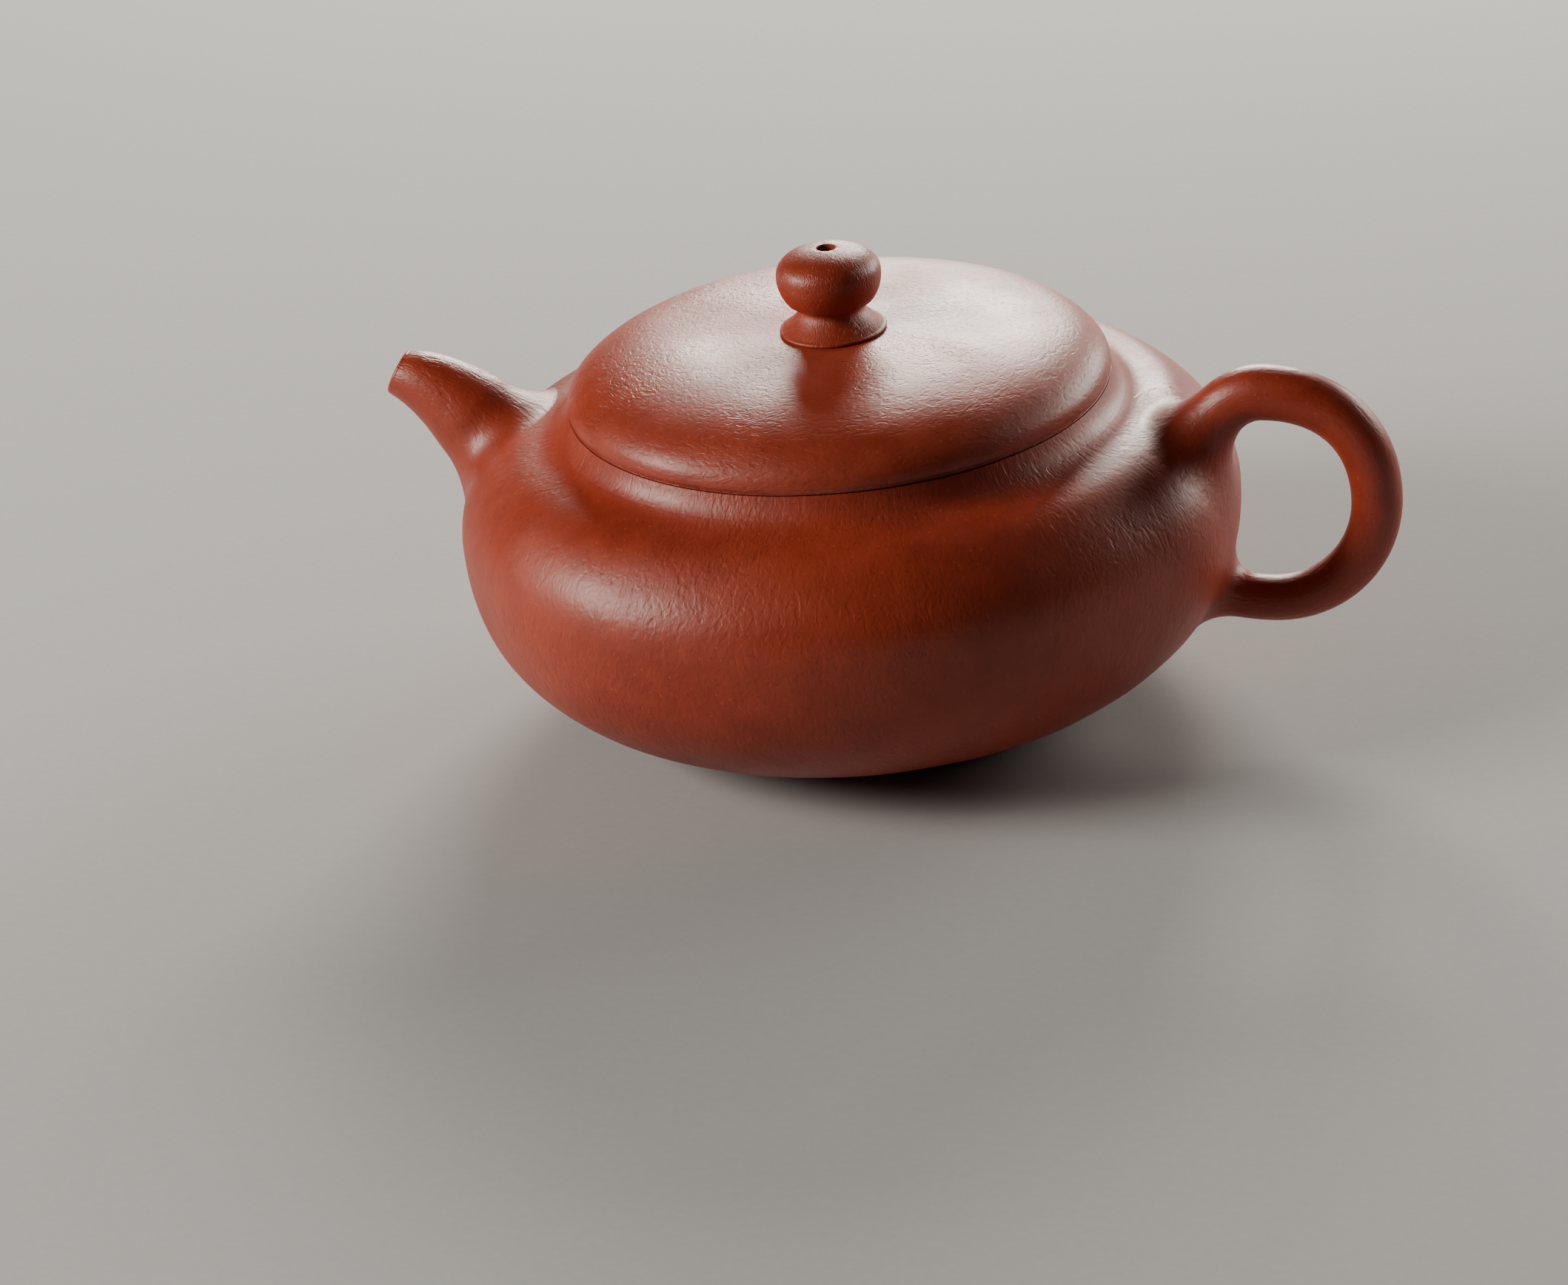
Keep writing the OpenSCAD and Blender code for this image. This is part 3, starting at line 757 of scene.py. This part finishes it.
# %% Effect: clay grain
grain_group, take, give = new_group(
    "clay_grain", [("Vector", "NodeSocketVector", None), ("Grains per metre", "NodeSocketFloat", 2200)],
    [("Height", "NodeSocketFloat"), ("Pale grains", "NodeSocketFloat"), ("Dark grains", "NodeSocketFloat")])
relief = add(grain_group, "TexNoise", {"Vector": take[0], "Scale": take[1], "Detail": 3.0, "Roughness": 0.6})
cells = add(grain_group, "TexVoronoi", {"Vector": take[0], "Scale": times(grain_group, take[1], 0.85)})
lot = add(grain_group, "SeparateColor", {"Color": cells.outputs["Color"]})
core = span(grain_group, cells.outputs["Distance"], 0.45, 0.2)
grain_group.links.new(relief.outputs["Fac"], give[0])
grain_group.links.new(times(grain_group, core, span(grain_group, lot.outputs[0], 0.9, 0.96)), give[1])
grain_group.links.new(times(grain_group, core, span(grain_group, lot.outputs[1], 0.88, 0.95)), give[2])

# %% [markdown]
# Scraper marks: short wavy ripples. The turned coordinate is stretched so the
# ripples lie along the turning or across it, a slow noise bends them, and
# another gathers them in patches, the way a scraper chatters and then runs smooth.

# %% Effect: scraper marks
marks_group, take, give = new_group(
    "scraper_marks", [("Vector", "NodeSocketVector", None), ("Per metre round", "NodeSocketFloat", 250),
                      ("Per metre across", "NodeSocketFloat", 700), ("Bend", "NodeSocketFloat", 1.0),
                      ("Seed", "NodeSocketFloat", 0.0)],
    [("Height", "NodeSocketFloat"), ("Patch", "NodeSocketFloat")])
stretch = add(marks_group, "CombineXYZ", {0: take[1], 1: take[1], 2: take[2]})
laid = add(marks_group, "VectorMath", {0: take[0], 1: stretch.outputs[0]}, operation="MULTIPLY")
slow = add(marks_group, "TexNoise", {"Vector": take[0], "W": take[4], "Scale": 130.0, "Detail": 2.0},
           noise_dimensions="4D")
bend = add(marks_group, "VectorMath", {0: slow.outputs["Color"], "Scale": take[3]}, operation="SCALE")
bent = add(marks_group, "VectorMath", {0: laid.outputs[0], 1: bend.outputs[0]}, operation="ADD")
ripple = add(marks_group, "TexNoise", {"Vector": bent.outputs[0], "W": take[4], "Scale": 1.0, "Detail": 2.5,
                                       "Roughness": 0.5, "Distortion": 0.3}, noise_dimensions="4D")
middle = add(marks_group, "Math", {0: ripple.outputs["Fac"], 1: 0.5}, operation="SUBTRACT").outputs[0]
crest = add(marks_group, "Math", {0: middle}, operation="ABSOLUTE").outputs[0]
ridge = span(marks_group, crest, 0.14, 0.0)
area = add(marks_group, "TexNoise", {"Vector": take[0], "W": take[4], "Scale": 38.0, "Detail": 1.0},
           noise_dimensions="4D")
patch = span(marks_group, area.outputs["Fac"], 0.42, 0.62)
mixed = plus(marks_group, times(marks_group, ripple.outputs["Fac"], 0.9), times(marks_group, ridge, 0.35))
gathered = plus(marks_group, times(marks_group, patch, 0.55), 0.45)
marks_group.links.new(times(marks_group, mixed, gathered), give[0])
marks_group.links.new(patch, give[1])

# %% [markdown]
# Pits: most Voronoi cells are empty; where the cell's random number is high
# enough, a small round hollow sits at its middle.

# %% Effect: pits
pits_group, take, give = new_group(
    "clay_pits", [("Vector", "NodeSocketVector", None), ("Cells per metre", "NodeSocketFloat", 300),
                  ("Share empty", "NodeSocketFloat", 0.75), ("Size", "NodeSocketFloat", 0.07)],
    [("Height", "NodeSocketFloat"), ("Mask", "NodeSocketFloat")])
wobble = add(pits_group, "TexNoise", {"Vector": take[0], "Scale": 1500.0})
shift = add(pits_group, "VectorMath", {0: wobble.outputs["Color"], "Scale": 0.0004}, operation="SCALE")
moved = add(pits_group, "VectorMath", {0: take[0], 1: shift.outputs[0]}, operation="ADD")
cells = add(pits_group, "TexVoronoi", {"Vector": moved.outputs[0], "Scale": take[1]})
lot = add(pits_group, "SeparateColor", {"Color": cells.outputs["Color"]})
some = add(pits_group, "Math", {0: lot.outputs[0], 1: take[2]}, operation="GREATER_THAN").outputs[0]
mask = times(pits_group, some, span(pits_group, cells.outputs["Distance"], take[3], 0.0))
whole = add(pits_group, "Math", {0: 1.0, 1: mask}, operation="SUBTRACT").outputs[0]
pits_group.links.new(whole, give[0])
pits_group.links.new(mask, give[1])

# %% [markdown]
# Firing tone: flame and ash leave slow drifts of colour, and years of tea and
# handling polish some places more than others. Two slow noises give both.

# %% Effect: firing tone
tone_group, take, give = new_group(
    "firing_tone", [("Vector", "NodeSocketVector", None), ("Drifts per metre", "NodeSocketFloat", 22)],
    [("Tone", "NodeSocketFloat"), ("Polish", "NodeSocketFloat")])
drift = add(tone_group, "TexNoise", {"Vector": take[0], "Scale": take[1], "Detail": 4.0, "Roughness": 0.55})
finer = add(tone_group, "TexNoise", {"Vector": take[0], "Scale": times(tone_group, take[1], 14.0), "Detail": 3.0})
handled = add(tone_group, "TexNoise", {"Vector": take[0], "Scale": times(tone_group, take[1], 2.6), "Detail": 3.0})
both = plus(tone_group, times(tone_group, drift.outputs["Fac"], 0.72),
            times(tone_group, finer.outputs["Fac"], 0.28))
tone_group.links.new(span(tone_group, both, 0.36, 0.64), give[0])
tone_group.links.new(span(tone_group, handled.outputs["Fac"], 0.3, 0.7), give[1])
print("effects:", [g.name for g in bpy.data.node_groups])

# %% [markdown]
# One function lays the effects into a clay. The colour runs between a deep and
# a light red by the firing tone, with single grains and painted shade in the pits;
# the polish sets how rough it is; and four Bump nodes in a row add the skin's own
# fine unevenness, the ripples, the pits and the grain, each by its height.

# %% The clay


def tint(tree, factor, a, b):
    """Socket of colour a turned towards colour b by a factor; a and b are colours or sockets."""
    node = add(tree, "Mix", data_type="RGBA")
    tree.links.new(factor, node.inputs["Factor"])
    for name, value in (("A", a), ("B", b)):
        socket = [i for i in node.inputs if i.name == name and i.type == "RGBA"][0]
        if isinstance(value, bpy.types.NodeSocket):
            tree.links.new(value, socket)
        else:
            socket.default_value = (*value, 1)
    return [o for o in node.outputs if o.type == "RGBA"][0]


def clay(name, deep, light, rough, marks, turned=True, ripple_mm=0.08, pit_mm=0.07, grain_mm=0.012,
         orange_mm=0.04, empty=0.8):
    """Clay material, from its deep and light colour, its roughness (polished, dull), its ripples per metre
    (round, across) and the height in mm of ripples, pits, grain and the skin's own fine unevenness.

    turned lays the ripples by the turning; empty is the share of places without a pit."""
    material = bpy.data.materials.new(name)
    material.use_nodes = True
    tree = material.node_tree
    shader = tree.nodes["Principled BSDF"]
    shader.inputs["Specular IOR Level"].default_value = 0.5
    place = add(tree, "TexCoord").outputs["Object"]
    along = add(tree, "Attribute", attribute_name="turned").outputs["Vector"] if turned else place

    grains = add(tree, "Group", {"Vector": place}, node_tree=grain_group).outputs
    ripples = add(tree, "Group", {"Vector": along, "Per metre round": marks[0], "Per metre across": marks[1]},
                  node_tree=marks_group).outputs
    skin = add(tree, "Group", {"Vector": place, "Per metre round": 600.0, "Per metre across": 600.0,
                               "Bend": 0.3, "Seed": 5.0}, node_tree=marks_group).outputs
    pits = add(tree, "Group", {"Vector": place, "Share empty": empty}, node_tree=pits_group).outputs
    tone = add(tree, "Group", {"Vector": place}, node_tree=tone_group).outputs

    pale, dark, shade = [2.0 * c + 0.02 for c in light], [0.35 * c for c in deep], [0.3 * c for c in deep]
    colour = tint(tree, tone["Tone"], deep, light)
    colour = tint(tree, times(tree, grains["Pale grains"], 0.22), colour, pale)
    colour = tint(tree, times(tree, grains["Dark grains"], 0.35), colour, dark)
    # painted shade: the inside of each pit is darkened towards a deep red, standing in for the shadow in the
    # hollow
    colour = tint(tree, times(tree, pits["Mask"], 0.75), colour, shade)
    tree.links.new(colour, shader.inputs["Base Color"])
    dull = plus(tree, times(tree, tone["Polish"], -0.7), times(tree, grains["Height"], 0.9))
    tree.links.new(span(tree, dull, -0.35, 0.5, *rough, smooth=False), shader.inputs["Roughness"])
    normal = None
    for height, deep_mm in ((skin["Height"], orange_mm), (ripples["Height"], ripple_mm),
                            (pits["Height"], pit_mm), (grains["Height"], grain_mm)):
        bump = add(tree, "Bump", {"Height": height, "Distance": deep_mm * MM, "Strength": 1.0})
        if normal:
            tree.links.new(normal, bump.inputs["Normal"])
        normal = bump.outputs["Normal"]
    tree.links.new(normal, shader.inputs["Normal"])
    return material


body_clay = clay("burnished_body_clay", (0.25, 0.026, 0.009), (0.34, 0.042, 0.016), (0.36, 0.52), (1300, 520),
                 ripple_mm=0.075, orange_mm=0.03, pit_mm=0.05)
lid_clay = clay("burnished_lid_clay", (0.25, 0.027, 0.009), (0.35, 0.046, 0.018), (0.37, 0.53), (560, 1300),
                ripple_mm=0.085, orange_mm=0.022, pit_mm=0.05)
foot_clay = clay("worn_foot_clay", (0.22, 0.035, 0.015), (0.33, 0.07, 0.035), (0.6, 0.78), (200, 900),
                 ripple_mm=0.08, grain_mm=0.015, empty=0.6)
inner_clay = clay("raw_inner_clay", (0.23, 0.034, 0.014), (0.33, 0.06, 0.028), (0.62, 0.8), (300, 300),
                  turned=False, ripple_mm=0.08, grain_mm=0.015, empty=0.7)

# %% [markdown]
# What the potter can reach is burnished: the body outside, and the lid, where
# the marks run round instead of down. The foot is worn by the table, and the
# parts inside stay raw. The strainer keeps its shape from the frame, since it
# sits deep in the pot and only its clay is seen.

# %% Clay on every piece
clays = {"lid_rim_plate": lid_clay, "lid_crown": lid_clay, "knob_ball": lid_clay, "knob_collar_ring": lid_clay,
         "pot_foot_ring": foot_clay, "lid_seat_ring": inner_clay}
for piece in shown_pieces():
    usual = body_clay if piece.name.startswith("pot_") else inner_clay
    chosen = clays.get(piece.name, usual)
    piece.data.materials.clear()
    piece.data.materials.append(chosen)
    print(piece.name, "wears", chosen.name)

# %% [markdown]
# The studio is dark, with a plain, pale paper floor that runs far past the pot.
# Paper is matt and almost even, so one fine noise in its grey is enough. The
# world gives only a trace of cool light, as a dark room does.

# %% Floor and air
scene = bpy.context.scene
half = 3
floor_mesh = bpy.data.meshes.new("floor")
corners = [(-half, -half, 0), (half, -half, 0), (half, half, 0), (-half, half, 0)]
floor_mesh.from_pydata(corners, [], [(0, 1, 2, 3)])
floor = bpy.data.objects.new("floor", floor_mesh)
scene.collection.objects.link(floor)
paper = bpy.data.materials.new("floor_paper")
paper.use_nodes = True
tree = paper.node_tree
shader = tree.nodes["Principled BSDF"]
shader.inputs["Roughness"].default_value = 0.92
place = add(tree, "TexCoord").outputs["Object"]
fibre = add(tree, "TexNoise", {"Vector": place, "Scale": 900.0, "Detail": 4.0}).outputs["Fac"]
grey = span(tree, fibre, 0.0, 1.0, 0.38, 0.43, smooth=False)
tree.links.new(add(tree, "CombineColor", {0: grey, 1: grey, 2: grey}).outputs[0], shader.inputs["Base Color"])
floor_mesh.materials.append(paper)
world = scene.world or bpy.data.worlds.new("studio")
scene.world = world
world.use_nodes = True
air = world.node_tree.nodes["Background"].inputs
air["Color"].default_value = (0.75, 0.8, 0.9, 1)
air["Strength"].default_value = 0.03

# %% [markdown]
# Light on burnished clay is mostly a soft mirror, so a highlight sits where the
# skin turns a lamp towards the eye. Two softboxes low behind the pot slide
# their light over lid and shoulder, a third stands to the left for belly and
# spout, and the front falls into shade. A softbox is a lamp behind white cloth:
# an area light of its size gives the same soft edge, and a warm tint.

# %% Softboxes
aim = Vector((0, 0, 0.035))


def softbox(name, azimuth, elevation, distance, size, watts, color=(1, 0.94, 0.85)):
    """Rectangular soft light at azimuth (degrees from +X towards +Y), elevation and distance, facing the pot."""
    light = bpy.data.lights.new(name, "AREA")
    light.shape = "RECTANGLE"
    light.size, light.size_y = size
    light.energy = watts
    light.color = color
    a, e = math.radians(azimuth), math.radians(elevation)
    towards = Vector((math.cos(a) * math.cos(e), math.sin(a) * math.cos(e), math.sin(e)))
    lamp = bpy.data.objects.new(name, light)
    lamp.location = aim + distance * towards
    lamp.rotation_euler = towards.to_track_quat("Z", "Y").to_euler()
    scene.collection.objects.link(lamp)
    print(name, "at", [round(c, 2) for c in lamp.location], "m,", watts, "W")


softbox("softbox_behind", 99, 21, 0.85, (0.34, 0.22), 10.5)
softbox("softbox_behind_right", 52, 15, 0.9, (0.6, 0.26), 7)
softbox("softbox_left", 207, 25, 0.75, (0.3, 0.26), 7)

# %% [markdown]
# The camera stands 0.6 m from the middle of the belly, 25.6 degrees above the
# table and 17.5 degrees round towards the handle, leaning 5.9 degrees, with a
# portrait lens. Sliding it sideways and down puts the pot right of the middle.

# %% Camera
elevation, azimuth, roll = math.radians(25.6), math.radians(17.5), math.radians(-5.9)
distance, slide_right, slide_up = 0.6, -8.40 * MM, -19.09 * MM
back = Vector((math.sin(azimuth) * math.cos(elevation), -math.cos(azimuth) * math.cos(elevation),
               math.sin(elevation)))
right = Vector((math.cos(azimuth), math.sin(azimuth), 0))
up = back.cross(right)
cam_right = right * math.cos(roll) + up * math.sin(roll)
cam_up = -right * math.sin(roll) + up * math.cos(roll)
camera_data = bpy.data.cameras.new("camera")
camera_data.sensor_width = 36
camera_data.lens = 107.19
camera = bpy.data.objects.new("camera", camera_data)
stand = Matrix((cam_right, cam_up, back)).transposed().to_4x4()
stand.translation = (Vector((0, 0, widest_z * MM)) + distance * back
                     + slide_right * cam_right + slide_up * cam_up)
camera.matrix_world = stand
scene.collection.objects.link(camera)
scene.camera = camera
print("camera at", [round(c, 3) for c in stand.translation], "m")
